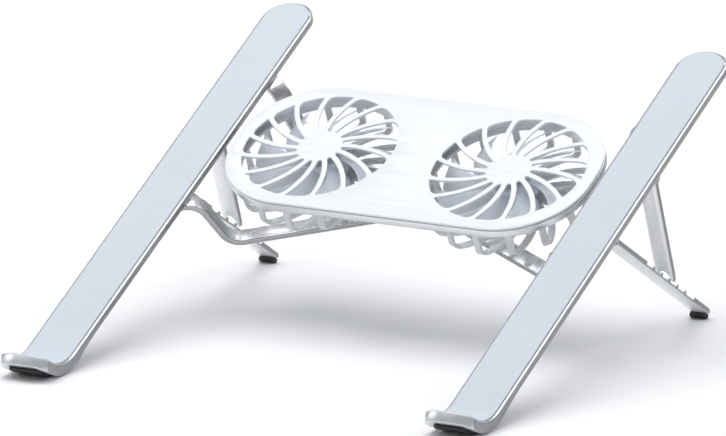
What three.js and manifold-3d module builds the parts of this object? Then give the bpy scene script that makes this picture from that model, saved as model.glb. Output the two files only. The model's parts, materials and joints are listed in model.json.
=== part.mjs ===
// Foldable laptop cooling stand: two tilted arms on notched legs, joined by crossed link bars that
// carry a flat twin-fan module. Millimetres, +Z up, +X to the user's right, +Y away from the user.
import * as THREE from 'three';
import { mergeVertices } from 'three/addons/utils/BufferGeometryUtils.js';
import Module from 'manifold-3d';

const wasm = await Module();
wasm.setup();

// ---------------------------------------------------------------- driving dimensions
const TILT = THREE.MathUtils.degToRad(25.5); // slope of the arms above the table
const ARM_X = 110.6; // centre line of each arm from the middle of the stand
const BASE = { y: -115.1, z: 5.4 }; // where the arms' top plane starts, at arm station 0
const GAP = 0.3; // clearance between touching pieces

const ARM = { half: 12.85, deep: 3.8, deepLip: 5.5, wall: 1.2, flat: 7.75, even: 22, end: 277.5 };
const CHANNEL = { ceiling: -1.6, floor: -3.0 }; // heights inside the rail, below its top plane
const LIP = { radius: 24.1, angle: THREE.MathUtils.degToRad(69.1), wide: 9.3, long: 4.3, upright: 0.55,
  steps: 6, webFrom: 0.12, webTo: 0.92, web: 1.3 };
const PAD = { half: 11.7, proud: 0.4, under: -0.5, recess: 0.3 };
const FRONT_FOOT = { half: 8.6, from: 0.2, to: 0.86, corner: 3 }; // from, to: shares of the lip's curl
const LUG = { thick: 1.0, round: 2.5, root: 5 }; // pairs of ears under the rail that hold the hinge pins

const LEG = { x: 4.9, half: 4.6, deep: 3.4, round: 1.8, skin: 1.2, u: 140.9, length: 117.5, angle: -55.2 };
const NOTCH = { first: 39.8, pitch: 9.55, count: 6, tooth: 2.3, deep: 1.5 };
const STRUT = { u: 188.3, length: 58.9, angle: -94, prong: 2.6, arch: 6.5 };
const LEG_FOOT = { from: 111.5, to: 117.6, thick: 1.3 };
const EAR = { inset: 2.2, leg: 5.5, strut: 4.5 }; // walls left beside the hinge, and how far they stand free
const HINGE = { n: -5.8, pin: 1.2, hole: 1.5, round: 1.85 };

const LINK = { half: 4.5, thick: 3, x: 104.3, rear: 225, front: 127, endTop: -4.3, eye: 4.9 };
const LINK_BEND = { flat: 3.6, radius: 10, angle: THREE.MathUtils.degToRad(68) }; // S-bends beside the eyes
const LINK_TOP = { upper: -26.4, lower: -29.8 }; // top faces of the two bars where they cross
const PIVOT = { shank: 2.0, hole: 2.3, head: 3.6 };
const SLOT = { from: 96, to: 200, half: 2.4 }; // guide of the front link pins, along the arm

const FANS = { u: (LINK.front + LINK.rear) / 2, top: -1.1, halfX: 94.5, halfY: 44.5, corner: 40, x: 50 };
const COVER = { thick: 1.1, inset: 0.25 };
const TRAY = { top: -2.5, deep: 4.0, wall: 1.6, floor: 1.2, opening: 38.6, collar: 40.2 };
const GRILLE = { slots: 16, outer: 38, inner: 10.4, spoke: 2.6, twist: 17.5, phase: -2.9 };
const CAGE = { ring: 42.6, bore: 38.9, ribs: 16, rib: 3.4, skin: 1.7, bottom: -21.4, plate: 14, swirl: 34 };
const ROTOR = { hub: 12, tip: 36, top: -5.4, low: -15.6, blades: 9, skin: 1.3, sweep: 30 };
const MOTOR = { radius: 9.5, low: -19.0, top: -9.4 };
const SHAFT = { radius: 1.5, hole: 1.8 };
const SOCKET = { half: 4.6, deep: 7.2, high: 2.7, skin: 0.5, tongue: 3 };
const BOARD = { half: 9, from: 20.5, to: 35.5, thick: 1.0 };
const POST = { radius: 6.7, screwRing: 15, screw: 1.4 };

// ---------------------------------------------------------------- materials
function paint(color, roughness, metalness) {
  return new THREE.MeshStandardMaterial({ color, roughness, metalness });
}
const SILVER = paint(0xc9ccd1, 0.34, 1.0);
const BRIGHT_STEEL = paint(0xd5d7da, 0.22, 1.0);
const SILICONE = paint(0xd9e3ec, 0.72, 0.0);
const RUBBER = paint(0x1b1c1e, 0.8, 0.0);
const WHITE_PLASTIC = paint(0xf3f5f8, 0.42, 0.0);
const GREY_PLASTIC = paint(0xb4b6ba, 0.45, 0.1);
const BLADE_PLASTIC = paint(0xc3cad3, 0.38, 0.0);
const MOTOR_BLACK = paint(0x3a3c40, 0.5, 0.2);
const BOARD_GREEN = paint(0x2f5d46, 0.55, 0.0);

// ---------------------------------------------------------------- solids
// A closed three.js geometry as a solid that can be joined and cut.
function solid(geometry) {
  const bare = (geometry.index ? geometry.toNonIndexed() : geometry).clone();
  bare.deleteAttribute('normal');
  bare.deleteAttribute('uv');
  const merged = mergeVertices(bare, 1e-4);
  const vertProperties = new Float32Array(merged.attributes.position.array);
  const triVerts = new Uint32Array(merged.index.array);
  return new wasm.Manifold(new wasm.Mesh({ numProp: 3, vertProperties, triVerts }));
}

// A solid back as a flat-shaded geometry.
function shell(body) {
  const mesh = body.getMesh();
  const geometry = new THREE.BufferGeometry();
  geometry.setAttribute('position', new THREE.BufferAttribute(new Float32Array(mesh.vertProperties), 3));
  geometry.setIndex(new THREE.BufferAttribute(new Uint32Array(mesh.triVerts), 1));
  const flat = geometry.toNonIndexed();
  flat.computeVertexNormals();
  return flat;
}

// A solid from a flat list of coordinates and its triangles.
function woven(positions, index) {
  const geometry = new THREE.BufferGeometry();
  geometry.setAttribute('position', new THREE.BufferAttribute(new Float32Array(positions), 3));
  geometry.setIndex(index);
  return solid(geometry);
}

function join(first, ...others) {
  return others.reduce((whole, other) => whole.add(other), first);
}

function cut(body, ...tools) {
  return tools.reduce((left, tool) => left.subtract(tool), body);
}

function part(name, body, material, group) {
  const mesh = new THREE.Mesh(shell(body), material);
  mesh.name = name;
  group.add(mesh);
}

const ALONG_X = new THREE.Matrix4().makeBasis(
  new THREE.Vector3(0, 1, 0), new THREE.Vector3(0, 0, 1), new THREE.Vector3(1, 0, 0));
const ALONG_Y = new THREE.Matrix4().makeBasis(
  new THREE.Vector3(1, 0, 0), new THREE.Vector3(0, 0, 1), new THREE.Vector3(0, -1, 0));

// An outline in X and Y, drawn out from height z0 to z1.
function plate(shape, z0, z1, curveSegments = 12) {
  const geometry = new THREE.ExtrudeGeometry(shape, { depth: z1 - z0, bevelEnabled: false, curveSegments });
  return solid(geometry.translate(0, 0, z0));
}

// An outline in Y and Z, drawn out from x0 to x1.
function slab(shape, x0, x1, curveSegments = 12) {
  const geometry = new THREE.ExtrudeGeometry(shape, { depth: x1 - x0, bevelEnabled: false, curveSegments });
  return solid(geometry.translate(0, 0, x0).applyMatrix4(ALONG_X));
}

// An outline in X and Z, drawn out from y0 to y1.
function beam(shape, y0, y1, curveSegments = 6) {
  const geometry = new THREE.ExtrudeGeometry(shape, { depth: y1 - y0, bevelEnabled: false, curveSegments });
  return solid(geometry.applyMatrix4(ALONG_Y).translate(0, y1, 0));
}

function block(x0, x1, y0, y1, z0, z1) {
  const geometry = new THREE.BoxGeometry(x1 - x0, y1 - y0, z1 - z0);
  return solid(geometry.translate((x0 + x1) / 2, (y0 + y1) / 2, (z0 + z1) / 2));
}

// A round bar along Z.
function drum(radius, z0, z1, sides = 16, x = 0, y = 0) {
  const geometry = new THREE.CylinderGeometry(radius, radius, z1 - z0, sides).rotateX(Math.PI / 2);
  return solid(geometry.translate(x, y, (z0 + z1) / 2));
}

// A round bar along X.
function rod(radius, x0, x1, y, z, sides = 16) {
  const geometry = new THREE.CylinderGeometry(radius, radius, x1 - x0, sides).rotateZ(Math.PI / 2);
  return solid(geometry.translate((x0 + x1) / 2, y, z));
}

// A turned piece about Z, from [radius, height] pairs that start and end on the axis.
function turned(profile, sides = 16) {
  const points = profile.map(([r, z]) => new THREE.Vector2(r, z));
  return solid(new THREE.LatheGeometry(points, sides).rotateX(Math.PI / 2));
}

function outline(points) {
  return new THREE.Shape(points.map(([a, b]) => new THREE.Vector2(a, b)));
}

function disc(radius, x = 0, y = 0) {
  return new THREE.Shape().absarc(x, y, radius, 0, 2 * Math.PI, false);
}

// A rectangle with round corners, centred on the origin.
function roundedBox(halfX, halfY, r) {
  const shape = new THREE.Shape();
  shape.absarc(halfX - r, halfY - r, r, 0, Math.PI / 2, false);
  shape.absarc(r - halfX, halfY - r, r, Math.PI / 2, Math.PI, false);
  shape.absarc(r - halfX, r - halfY, r, Math.PI, 1.5 * Math.PI, false);
  shape.absarc(halfX - r, r - halfY, r, 1.5 * Math.PI, 2 * Math.PI, false);
  return shape.closePath();
}

// ---------------------------------------------------------------- arms
// Where a point of the arm lies: s runs along its surface, h is the height over the top plane.
// Ahead of ARM.flat the strip curls up round the lip's radius, where its walls hang steeper than square.
function onArm(s, h) {
  if (s >= ARM.flat) return [s, h];
  const angle = (ARM.flat - s) / LIP.radius;
  const lean = h > CHANNEL.ceiling ? angle : angle - LIP.upright * Math.max(angle - TILT, 0);
  const [y, z] = [ARM.flat - LIP.radius * Math.sin(angle), LIP.radius * (1 - Math.cos(angle))];
  return [y + h * Math.sin(lean), z + h * Math.cos(lean)];
}

const LIP_TIP = ARM.flat - LIP.radius * LIP.angle;

// Stations [s, half width] of a strip with elliptic corners at its tip and a full-round rear end.
function stations(half, inset) {
  const front = LIP_TIP + inset;
  const rear = ARM.end - inset - half;
  const [wide, long] = [LIP.wide - inset / 2, LIP.long - inset / 2];
  const rows = [];
  for (let i = 0; i <= 6; i += 1) {
    const angle = (i * Math.PI) / 12;
    rows.push([front + long * (1 - Math.cos(angle)), half - wide * (1 - Math.sin(angle))]);
  }
  const curl = (ARM.flat - front - long) / LIP.steps;
  for (let i = 1; i <= LIP.steps; i += 1) rows.push([front + long + curl * i, half]);
  rows.push([ARM.even, half]);
  for (let i = 0; i <= 7; i += 1) {
    const angle = (i / 7) * THREE.MathUtils.degToRad(84);
    rows.push([rear + half * Math.sin(angle), half * Math.cos(angle)]);
  }
  return rows;
}

// A closed strip along the arm. section(w, s) gives its cross-section at station s as [x, h] corners.
function strip(half, inset, section) {
  const rings = stations(half, inset).map(([s, w]) => section(w, s).map(([x, h]) => [x, ...onArm(s, h)]));
  const count = rings[0].length;
  const index = [];
  for (let i = 0; i + 1 < rings.length; i += 1) {
    for (let j = 0; j < count; j += 1) {
      const a = i * count + j;
      const b = i * count + ((j + 1) % count);
      index.push(a, b + count, b, a, a + count, b + count);
    }
  }
  const last = (rings.length - 1) * count;
  for (let j = 1; j + 1 < count; j += 1) {
    index.push(0, j, j + 1);
    index.push(last, last + j + 1, last + j);
  }
  return woven(rings.flat(2), index);
}

// How far the rail's side walls reach below the top plane: deepest round the lip, even from ARM.even on.
function railDepth(s) {
  const share = THREE.MathUtils.clamp((ARM.even - s) / (ARM.even - ARM.flat), 0, 1);
  return ARM.deep + (ARM.deepLip - ARM.deep) * share;
}

// Cross-section from height low to height high, with the upper edges cut off by chamfer.
// low is a height, or a function of the station.
function boxSection(low, high, chamfer = 0) {
  return (w, s) => {
    const base = typeof low === 'function' ? low(s) : low;
    const flat = w - Math.min(chamfer, w / 2);
    const edge = high - chamfer;
    return [[w, base], [w, edge], [flat, high], [-flat, high], [-w, edge], [-w, base]];
  };
}

// side is +1 for the right arm and -1 for the left; legs and struts stand under the outer half,
// and the inner half is closed below by the track that guides the link pins.
function makeRail(side) {
  const both = (a, b) => [side * a, side * b].sort((p, q) => p - q);
  const slotX = LINK.x - ARM_X;
  const bed = strip(PAD.half + PAD.recess, ARM.half - PAD.half - PAD.recess, boxSection(PAD.under - GAP, 2));
  const hollow = strip(ARM.half - ARM.wall, ARM.wall, boxSection(-ARM.deepLip - 1, CHANNEL.ceiling));
  const track = block(...both(ARM.wall / 2 - ARM.half, 0.2 - LUG.thick), SLOT.from - 6, LINK.rear + 9,
    -ARM.deep, CHANNEL.floor);
  const slot = block(...both(slotX - SLOT.half, slotX + SLOT.half), SLOT.from, SLOT.to,
    -ARM.deep - 1, CHANNEL.ceiling);
  const eye = drum(PIVOT.hole, -ARM.deep - 1, CHANNEL.ceiling, 16, side * slotX, LINK.rear);
  const body = strip(ARM.half, 0, boxSection((s) => -railDepth(s), 0, 0.6));
  let rail = cut(body, bed, hollow).add(lipWeb().intersect(body));
  rail = cut(rail.add(track), slot, eye);
  for (const u of [LEG.u, STRUT.u]) {
    for (const away of [-1, 1]) {
      const near = LEG.x + away * (LEG.half + GAP);
      rail = rail.add(makeLug(u, ...both(near, near + away * LUG.thick)));
    }
  }
  return rail;
}

// An ear of a hinge: a round-ended tongue that hangs under the rail, with the pin's hole in it.
function makeLug(u, x0, x1) {
  const shape = new THREE.Shape();
  shape.moveTo(u + LUG.root, CHANNEL.ceiling + 0.3);
  shape.lineTo(u - LUG.root, CHANNEL.ceiling + 0.3);
  shape.lineTo(u - LUG.root, -ARM.deep);
  shape.absarc(u, HINGE.n, LUG.round, Math.PI, 2 * Math.PI, false);
  shape.lineTo(u + LUG.root, -ARM.deep);
  shape.holes.push(new THREE.Path().absarc(u, HINGE.n, HINGE.hole, 0, 2 * Math.PI, false));
  return slab(shape.closePath(), x0, x1, 8);
}

// Plate that closes the channel below the curl; the front foot is glued under it.
function lipWeb() {
  const [from, to] = [LIP.webFrom * LIP.angle, LIP.webTo * LIP.angle];
  const outer = LIP.radius + ARM.deepLip - 0.2;
  const shape = new THREE.Shape();
  shape.absarc(ARM.flat, LIP.radius, outer - LIP.web, -Math.PI / 2 - to, -Math.PI / 2 - from, false);
  shape.absarc(ARM.flat, LIP.radius, outer, -Math.PI / 2 - from, -Math.PI / 2 - to, true);
  return slab(shape.closePath(), 0.3 - ARM.half, ARM.half - 0.3, 8);
}

function makePad() {
  return strip(PAD.half, ARM.half - PAD.half, boxSection(PAD.under, PAD.proud, 0.35));
}

// A rubber strip that follows the underside of the curl; its outer face touches the table.
function makeFrontFoot() {
  const inner = LIP.radius + ARM.deepLip + GAP;
  const outer = BASE.z + ARM.flat * Math.sin(TILT) + LIP.radius * Math.cos(TILT);
  const [from, to] = [FRONT_FOOT.from, FRONT_FOOT.to].map((share) => share * LIP.angle);
  const shape = new THREE.Shape();
  shape.absarc(ARM.flat, LIP.radius, inner, -Math.PI / 2 - to, -Math.PI / 2 - from, false);
  shape.absarc(ARM.flat, LIP.radius, outer, -Math.PI / 2 - from, -Math.PI / 2 - to, true);
  const body = slab(shape.closePath(), -FRONT_FOOT.half, FRONT_FOOT.half, 8);
  const ends = [from, to].map((angle) => ARM.flat - outer * Math.sin(angle));
  const trim = roundedBox(FRONT_FOOT.half, (ends[0] - ends[1]) / 2, FRONT_FOOT.corner);
  return body.intersect(plate(trim, -12, 22, 4).translate(0, (ends[0] + ends[1]) / 2, 0));
}

// ---------------------------------------------------------------- legs and struts
// The round underside of a web, drawn from left to right about the middle of the section.
function underside(shape, half, low, round) {
  return shape.absellipse(0, low + round, half, round, Math.PI, 2 * Math.PI, false);
}

// Channel section, open upwards, whose web is rounded from wall to wall.
function channelSection() {
  const half = LEG.half;
  const low = -LEG.deep / 2;
  const inner = half - LEG.skin;
  const shape = new THREE.Shape();
  shape.moveTo(half, -low);
  shape.lineTo(inner, -low);
  shape.lineTo(inner, low + LEG.skin);
  shape.lineTo(-inner, low + LEG.skin);
  shape.lineTo(-inner, -low);
  shape.lineTo(-half, -low);
  return underside(shape, half, low, LEG.round).closePath();
}

// Side view of a channel: round at the hinge, with tip(shape) drawing the far end.
function sideView(tip) {
  const top = LEG.deep / 2;
  const shape = new THREE.Shape();
  shape.moveTo(0, -top - 0.1);
  tip(shape, top);
  shape.lineTo(0, top);
  shape.absarc(0, 0, HINGE.round, Math.PI / 2, 1.5 * Math.PI, false);
  return shape.closePath();
}

function makeLeg() {
  const view = sideView((shape, top) => {
    shape.lineTo(LEG.length - 1.6, -top - 0.1);
    shape.quadraticCurveTo(LEG.length, -top, LEG.length, -0.2);
    shape.quadraticCurveTo(LEG.length, top, LEG.length - 2.2, top);
    for (let i = NOTCH.count - 1; i >= 0; i -= 1) {
      const start = NOTCH.first + i * NOTCH.pitch;
      const end = start + NOTCH.pitch - (i === NOTCH.count - 1 ? 0 : NOTCH.tooth);
      shape.lineTo(end + 0.9, top);
      shape.lineTo(end - 0.3, top - NOTCH.deep);
      shape.lineTo(start, top - NOTCH.deep);
      shape.lineTo(start, top);
    }
  });
  let leg = beam(channelSection(), -HINGE.round, LEG.length).intersect(slab(view, -6, 6, 4));
  leg = leg.subtract(rod(HINGE.hole, -6, 6, 0, 0));
  return leg.subtract(block(EAR.inset - LEG.half, LEG.half - EAR.inset, -3, EAR.leg, -3, 3));
}

function makeStrut() {
  const view = sideView((shape, top) => {
    shape.lineTo(STRUT.length - STRUT.arch, -top - 0.1);
    shape.lineTo(STRUT.length, -STRUT.prong / 2);
    shape.lineTo(STRUT.length, STRUT.prong / 2 - 0.3);
    shape.lineTo(STRUT.length - 3, top);
  });
  let strut = beam(channelSection(), -HINGE.round, STRUT.length).intersect(slab(view, -6, 6, 4));
  const half = LEG.half - LEG.skin;
  const opening = new THREE.Shape();
  opening.moveTo(half, STRUT.length + 1);
  opening.lineTo(half, STRUT.length);
  opening.absellipse(0, STRUT.length, half, STRUT.arch, 0, -Math.PI, true);
  opening.lineTo(-half, STRUT.length + 1);
  strut = strut.subtract(plate(opening.closePath(), -4, 4, 6));
  strut = strut.subtract(rod(HINGE.hole, -6, 6, 0, 0));
  return strut.subtract(block(EAR.inset - LEG.half, LEG.half - EAR.inset, -3, EAR.strut, -3, 3));
}

// Rubber strip under the leg's end, hollowed to fit the round web; its rear edge is cut level, where
// it stands on the table.
function makeLegFoot() {
  const slope = THREE.MathUtils.degToRad(LEG.angle) + TILT;
  const hingeHeight = BASE.z + LEG.u * Math.sin(TILT) + HINGE.n * Math.cos(TILT);
  const { from, to, thick } = LEG_FOOT;
  const top = -LEG.deep / 2 - GAP;
  const low = top - thick;
  // Where the table lies below the point s of the leg, and where it meets the strip's lower face.
  const tableAt = (s) => (-hingeHeight - s * Math.sin(slope)) / Math.cos(slope);
  const level = (-hingeHeight - low * Math.cos(slope)) / Math.sin(slope);
  const brim = top + 0.9;
  const shape = outline([[from, brim], [from, low], [level, low], [to, tableAt(to)], [to, brim]]);
  const half = LEG.half - GAP;
  const trim = roundedBox(half, (to - from) / 2 + half, half);
  const bed = underside(new THREE.Shape(), LEG.half + GAP, top, LEG.round + GAP);
  bed.lineTo(LEG.half + GAP, 6);
  bed.lineTo(-LEG.half - GAP, 6);
  const foot = slab(shape, -half, half).subtract(beam(bed.closePath(), from - 1, to + 1));
  return foot.intersect(plate(trim, -8, 0, 5).translate(0, (to + from) / 2 + half, 0));
}

// ---------------------------------------------------------------- links
// Side view of a bar: flat ends, S-bends, and a flat middle whose top face is at the height mid.
function linkOutline(mid, reach) {
  const { flat, radius, angle } = LINK_BEND;
  const half = LINK.thick / 2;
  const start = [reach - flat, LINK.endTop - half];
  const straight = (LINK.endTop - mid - 2 * radius * (1 - Math.cos(angle))) / Math.sin(angle);
  const bend = [0, 1, 2, 3, 4, 5].map((i) => (angle * i) / 5);
  // Middle of the bar's thickness as [x, height, lean], from the eye inwards and down.
  const path = [[reach + LINK.eye, start[1], 0]];
  for (const a of bend) {
    path.push([start[0] - radius * Math.sin(a), start[1] - radius * (1 - Math.cos(a)), a]);
  }
  const x = path[path.length - 1][0];
  const end = [x - straight * Math.cos(angle) - radius * Math.sin(angle), mid - half];
  for (const a of [...bend].reverse()) {
    path.push([end[0] + radius * Math.sin(a), end[1] + radius * (1 - Math.cos(a)), a]);
  }
  const top = path.map(([px, pz, a]) => [px - half * Math.sin(a), pz + half * Math.cos(a)]);
  const low = path.map(([px, pz, a]) => [px + half * Math.sin(a), pz - half * Math.cos(a)]);
  const flip = ([px, pz]) => [-px, pz];
  return outline([...top, ...top.map(flip).reverse(), ...low.map(flip), ...low.reverse()]);
}

// A bar along X, to be turned about Z by the link angle.
function makeLink(mid, reach) {
  const profile = linkOutline(mid, reach);
  const geometry = new THREE.ExtrudeGeometry(profile, { depth: 2 * LINK.half, bevelEnabled: false });
  geometry.applyMatrix4(ALONG_Y).translate(0, LINK.half, 0);
  const plan = roundedBox(reach + LINK.eye, LINK.half, LINK.half - 0.1);
  let bar = solid(geometry).intersect(plate(plan, -60, 0, 8));
  for (const x of [-reach, reach, 0]) bar = bar.subtract(drum(PIVOT.hole, -60, 0, 16, x));
  return bar;
}

// Shouldered rivet: wide head above, shank through the bar's eye, domed head below.
function makeRivet(headTop, headLow, shankLow) {
  return turned([
    [0, shankLow - 1.5], [PIVOT.head - 1.2, shankLow - 1.5], [PIVOT.head - 0.4, shankLow - 0.7],
    [PIVOT.head - 0.4, shankLow], [PIVOT.shank, shankLow], [PIVOT.shank, headLow],
    [PIVOT.head, headLow], [PIVOT.head, headTop], [0, headTop],
  ]);
}

// ---------------------------------------------------------------- fan module
// Slot between two curved spokes, as an outline about the fan's centre.
function grilleSlot(place) {
  const step = (2 * Math.PI) / GRILLE.slots;
  const twist = THREE.MathUtils.degToRad(GRILLE.twist);
  const start = THREE.MathUtils.degToRad(GRILLE.phase) + place * step;
  const spokeAt = (r) => start + (twist * (GRILLE.outer - r)) / (GRILLE.outer - GRILLE.inner);
  const at = (r, angle) => new THREE.Vector2(r * Math.cos(angle), r * Math.sin(angle));
  const halfSpoke = (r) => GRILLE.spoke / 2 / r;
  const points = [];
  const steps = 3;
  for (let i = 0; i <= steps; i += 1) {
    const r = GRILLE.inner + 1 + ((GRILLE.outer - 0.6 - GRILLE.inner - 1) * i) / steps;
    points.push(at(r, spokeAt(r) + halfSpoke(r)));
  }
  const outerStart = spokeAt(GRILLE.outer) + halfSpoke(GRILLE.outer) + 0.02;
  const outerEnd = spokeAt(GRILLE.outer) + step - halfSpoke(GRILLE.outer) - 0.07;
  for (const share of [0, 0.5, 1]) points.push(at(GRILLE.outer, outerStart + (outerEnd - outerStart) * share));
  const shoulder = GRILLE.outer - 1.0;
  points.push(at(shoulder, spokeAt(shoulder) + step - halfSpoke(shoulder) - 0.015));
  for (let i = 0; i <= steps; i += 1) {
    const r = GRILLE.outer - 2.8 - ((GRILLE.outer - 2.8 - GRILLE.inner - 1) * i) / steps;
    points.push(at(r, spokeAt(r) + step - halfSpoke(r)));
  }
  const root = GRILLE.inner;
  points.push(at(root, spokeAt(root) + step / 2));
  return points;
}

function makeTopCover() {
  const { halfX, halfY, corner } = FANS;
  const shape = roundedBox(halfX - COVER.inset, halfY - COVER.inset, corner - COVER.inset);
  for (const side of [-1, 1]) {
    for (let i = 0; i < GRILLE.slots; i += 1) {
      const hole = grilleSlot(i).map((p) => new THREE.Vector2(p.x + side * FANS.x, p.y));
      shape.holes.push(new THREE.Path(hole));
    }
  }
  return plate(shape, FANS.top - COVER.thick, FANS.top, 12);
}

function makeTray() {
  const { halfX, halfY, corner } = FANS;
  const low = TRAY.top - TRAY.deep;
  const outer = plate(roundedBox(halfX, halfY, corner), low, TRAY.top, 12);
  const inner = roundedBox(halfX - TRAY.wall, halfY - TRAY.wall, corner - TRAY.wall);
  let tray = outer.subtract(plate(inner, low + TRAY.floor, TRAY.top + 1, 12));
  for (const side of [-1, 1]) {
    tray = tray.add(drum(TRAY.collar, low + TRAY.floor / 2, TRAY.top, 32, side * FANS.x));
    tray = tray.subtract(drum(TRAY.opening, low - 1, TRAY.top + 1, 32, side * FANS.x));
  }
  const mouth = SOCKET.half + GAP;
  const slot = block(-mouth, mouth, halfY - 4, halfY + 1, TRAY.top - SOCKET.high - GAP, TRAY.top + 1);
  tray = tray.subtract(slot);
  for (const y of [-POST.screwRing, POST.screwRing]) {
    tray = tray.subtract(drum(POST.screw + GAP, low - 1, TRAY.top, 12, 0, y));
  }
  return tray;
}

// One swirling rib: from the ring down round a bend and inwards to the motor plate.
function cageRib(place) {
  const start = (place * 2 * Math.PI) / CAGE.ribs;
  const swirl = THREE.MathUtils.degToRad(CAGE.swirl);
  const topZ = TRAY.top - TRAY.deep - GAP - 0.8;
  const lowZ = CAGE.bottom + CAGE.skin / 2;
  const bend = 3.2;
  const wallR = CAGE.ring - 1.5;
  const path = [[wallR, topZ], [wallR, lowZ + bend]];
  for (const angle of [Math.PI / 4, Math.PI / 2]) {
    path.push([wallR - bend + bend * Math.cos(angle), lowZ + bend - bend * Math.sin(angle)]);
  }
  for (const r of [(wallR + CAGE.plate) / 2, CAGE.plate - 1.5]) path.push([r, lowZ]);
  const ring = [];
  path.forEach(([r, z], i) => {
    const inward = THREE.MathUtils.clamp((wallR - r) / (wallR - CAGE.plate), 0, 1);
    const angle = start + swirl * inward;
    const [before, after] = [path[Math.max(i - 1, 0)], path[Math.min(i + 1, path.length - 1)]];
    const along = new THREE.Vector2(after[0] - before[0], after[1] - before[1]).normalize();
    const across = new THREE.Vector2(along.y, -along.x).multiplyScalar(CAGE.skin / 2);
    for (const [a, b] of [[1, -1], [1, 1], [-1, 1], [-1, -1]]) {
      const radius = r + a * across.x;
      const side = (b * CAGE.rib) / 2;
      const slant = inward > 0 ? side * 0.35 : 0;
      const c = Math.cos(angle);
      const s = Math.sin(angle);
      ring.push((radius + slant) * c - side * s, (radius + slant) * s + side * c, z + a * across.y);
    }
  });
  const index = [];
  for (let i = 0; i + 1 < path.length; i += 1) {
    for (let j = 0; j < 4; j += 1) {
      const a = i * 4 + j;
      const b = i * 4 + ((j + 1) % 4);
      index.push(a, b, b + 4, a, b + 4, a + 4);
    }
  }
  const end = (path.length - 1) * 4;
  index.push(0, 2, 1, 0, 3, 2, end, end + 1, end + 2, end, end + 2, end + 3);
  return woven(ring, index);
}

function makeCage() {
  const top = TRAY.top - TRAY.deep - GAP;
  const hoop = disc(CAGE.ring);
  hoop.holes.push(new THREE.Path().absarc(0, 0, CAGE.bore, 0, 2 * Math.PI, false));
  let cage = plate(hoop, top - 1.6, top, 32);
  for (let i = 0; i < CAGE.ribs; i += 1) cage = cage.add(cageRib(i));
  cage = cage.add(drum(CAGE.plate, CAGE.bottom, CAGE.bottom + 1.9, 28));
  return cage.subtract(drum(SHAFT.hole, CAGE.bottom + 0.9, CAGE.bottom + 4, 12));
}

// Hub cap with swept, pitched blades.
function makeRotor() {
  const { hub, top, low, blades } = ROTOR;
  let rotor = turned([[0, low + 0.6], [hub, low + 0.6], [hub, top - 1.5], [hub - 1.5, top], [0, top]], 28);
  for (let i = 0; i < blades; i += 1) rotor = rotor.add(rotorBlade((i * 2 * Math.PI) / blades));
  const pocket = drum(MOTOR.radius + 0.8, low - 1, MOTOR.top + 0.8, 24);
  return rotor.subtract(pocket).subtract(drum(SHAFT.hole, low, top - 1.2, 12));
}

function rotorBlade(start) {
  const { hub, tip, top, low, skin } = ROTOR;
  const sweep = THREE.MathUtils.degToRad(ROTOR.sweep);
  const pitch = THREE.MathUtils.degToRad(24);
  const corners = [];
  const steps = 3;
  for (let i = 0; i <= steps; i += 1) {
    const r = hub - 0.6 + ((tip - hub + 0.6) * i) / steps;
    const lean = start - (sweep * i) / steps;
    // Lower edge leads, upper edge trails.
    for (const [z, ahead] of [[low + 0.4, pitch], [top - 0.8, -pitch * 0.35]]) {
      for (const sideways of [-skin / 2, skin / 2]) {
        const angle = lean + ahead * (hub / r + 0.35) + sideways / r;
        corners.push([r * Math.cos(angle), r * Math.sin(angle), z]);
      }
    }
  }
  const index = [];
  const loop = [0, 1, 3, 2];
  for (let i = 0; i < steps; i += 1) {
    for (let j = 0; j < 4; j += 1) {
      const a = i * 4 + loop[j];
      const b = i * 4 + loop[(j + 1) % 4];
      index.push(a, b, b + 4, a, b + 4, a + 4);
    }
  }
  const end = steps * 4;
  index.push(loop[0], loop[2], loop[1], loop[0], loop[3], loop[2]);
  index.push(end + loop[0], end + loop[1], end + loop[2], end + loop[0], end + loop[2], end + loop[3]);
  return woven(corners.flat(), index);
}

function makeMotor() {
  const body = drum(MOTOR.radius, MOTOR.low, MOTOR.top, 24);
  return body.subtract(drum(SHAFT.hole, MOTOR.low - 1, MOTOR.top + 1, 12));
}

function makePost() {
  const top = TRAY.top - TRAY.deep - GAP;
  const low = LINK_TOP.upper + GAP;
  const flange = plate(roundedBox(POST.radius, POST.screwRing + 4, 4), top - 2.4, top, 6);
  let post = join(flange, drum(POST.radius, low, top - 1, 20));
  post = post.subtract(drum(PIVOT.hole, low - 1, top + 1, 16));
  for (const y of [-POST.screwRing, POST.screwRing]) {
    post = post.subtract(drum(POST.screw + GAP, top - 5, top + 1, 12, 0, y));
  }
  return post;
}

function makeScrew(y) {
  const top = TRAY.top - TRAY.deep - GAP - 2.4 - GAP;
  const head = drum(2.6, top - 1.4, top, 16, 0, y);
  return join(head, drum(POST.screw, top - 1, TRAY.top - 0.4, 12, 0, y));
}

function makeSocket() {
  const top = TRAY.top - GAP;
  const low = TRAY.top - SOCKET.high;
  const rear = FANS.halfY - 0.3;
  const front = rear - SOCKET.deep;
  const { half, skin, tongue } = SOCKET;
  const mid = (low + top) / 2;
  const mouth = block(skin - half, half - skin, front + 0.8, rear + 1, low + skin, top - skin);
  const blade = block(-tongue, tongue, front + 0.4, rear - 1.2, mid - 0.35, mid + 0.35);
  return join(block(-half, half, front, rear, low, top).subtract(mouth), blade);
}

// ---------------------------------------------------------------- assembly
const stand = new THREE.Group();

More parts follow.
